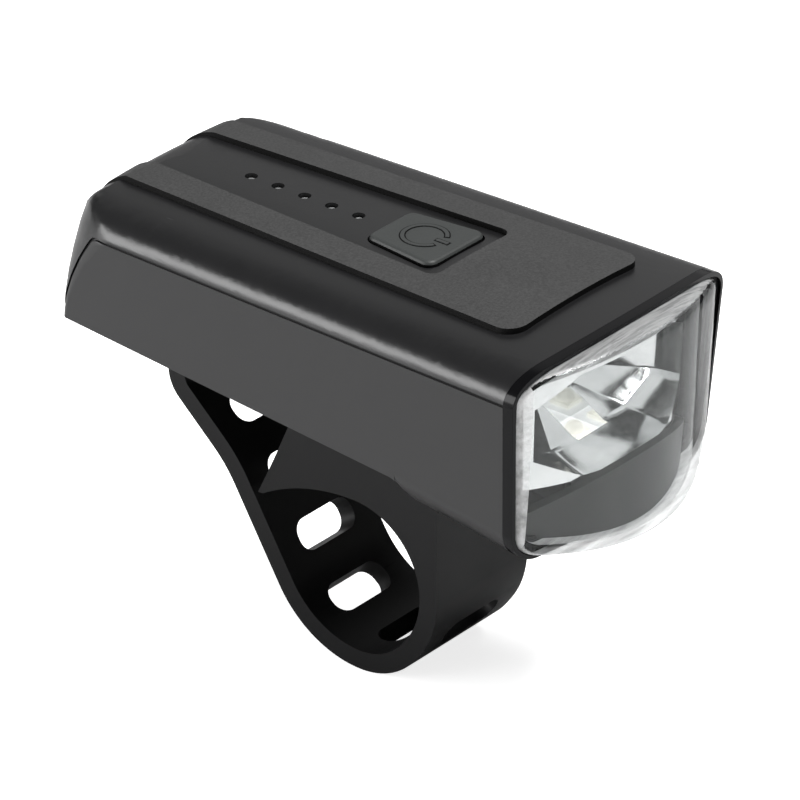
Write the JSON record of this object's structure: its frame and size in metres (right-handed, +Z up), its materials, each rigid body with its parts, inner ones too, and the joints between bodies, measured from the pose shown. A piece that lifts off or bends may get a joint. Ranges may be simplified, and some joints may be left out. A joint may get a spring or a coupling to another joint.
{
  "type": "bicycle headlight",
  "caption": "Compact rechargeable bicycle headlight with a faceted reflector, clear lens, top power button and rubber handlebar strap",
  "frame": {"origin": "centre of the handlebar that the strap's clamp arc fits, midway across the light", "axes": "+X across the light along the handlebar, +Y to the rear away from the lens, +Z up"},
  "size_m": [0.05, 0.0991, 0.0707],
  "materials": {
    "shell_black": "fine matt moulded texture",
    "pad_rubber": "soft-touch speckled rubber",
    "button_rubber": "matt soft-touch",
    "strap_rubber": "matt silicone rubber",
    "cover_rubber": "matt",
    "gasket_rubber": "matt",
    "bezel_gloss": "gloss",
    "lens_clear": "clear polycarbonate",
    "reflector_chrome": "vacuum-metallised facets",
    "chin_grey": "satin grey",
    "pipe_clear": "frosted light pipe",
    "led_package": "phosphor and silicone",
    "board_green": "solder mask",
    "board_white": "white solder mask",
    "component_black": "moulded epoxy",
    "switch_plastic": "moulded",
    "steel": "zinc plated",
    "insert_brass": "machined",
    "sink_aluminium": "bead blasted",
    "cell_foil": "pouch foil",
    "foam_grey": "closed-cell foam",
    "wire_jacket": "PVC"
  },
  "bodies": {
    "root": {"top_shell": "shell_black", "lower_shell": "shell_black", "shell_gasket": "gasket_rubber", "top_pad": "pad_rubber", "switch_housing": "switch_plastic", "light_pipes": "pipe_clear", "indicator_leds": "led_package", "main_board": "board_green", "board_screws": "steel", "board_components": "component_black", "charge_socket": "steel", "port_cover_anchor": "cover_rubber", "battery_cell": "cell_foil", "battery_foam": "foam_grey", "battery_wires": "wire_jacket", "led_wires": "wire_jacket", "front_bezel": "bezel_gloss", "lens": "lens_clear", "lens_seal": "gasket_rubber", "reflector": "reflector_chrome", "chin_cover": "chin_grey", "led_board": "board_white", "led_emitter": "led_package", "heat_sink": "sink_aluminium", "optic_screws": "steel", "case_screws": "steel", "strap": "strap_rubber", "strap_screw": "steel", "strap_washer": "steel", "threaded_insert": "insert_brass"},
    "power_button": {"power_button": "button_rubber", "switch_stem": "switch_plastic"},
    "port_cover": {"port_cover": "cover_rubber"}
  },
  "joints": [
    {"name": "power_button_press", "type": "slide", "parent": "root", "child": "power_button", "axis": [0, 0, -1], "range_m": [0, 0.0005], "stiffness_N_per_m": 3000},
    {"name": "port_cover_hinge", "type": "hinge", "parent": "root", "child": "port_cover", "pos_m": [0, 0.0493, 0.04277], "axis": [-1, 0, 0], "range_deg": [0, 95]}
  ]
}
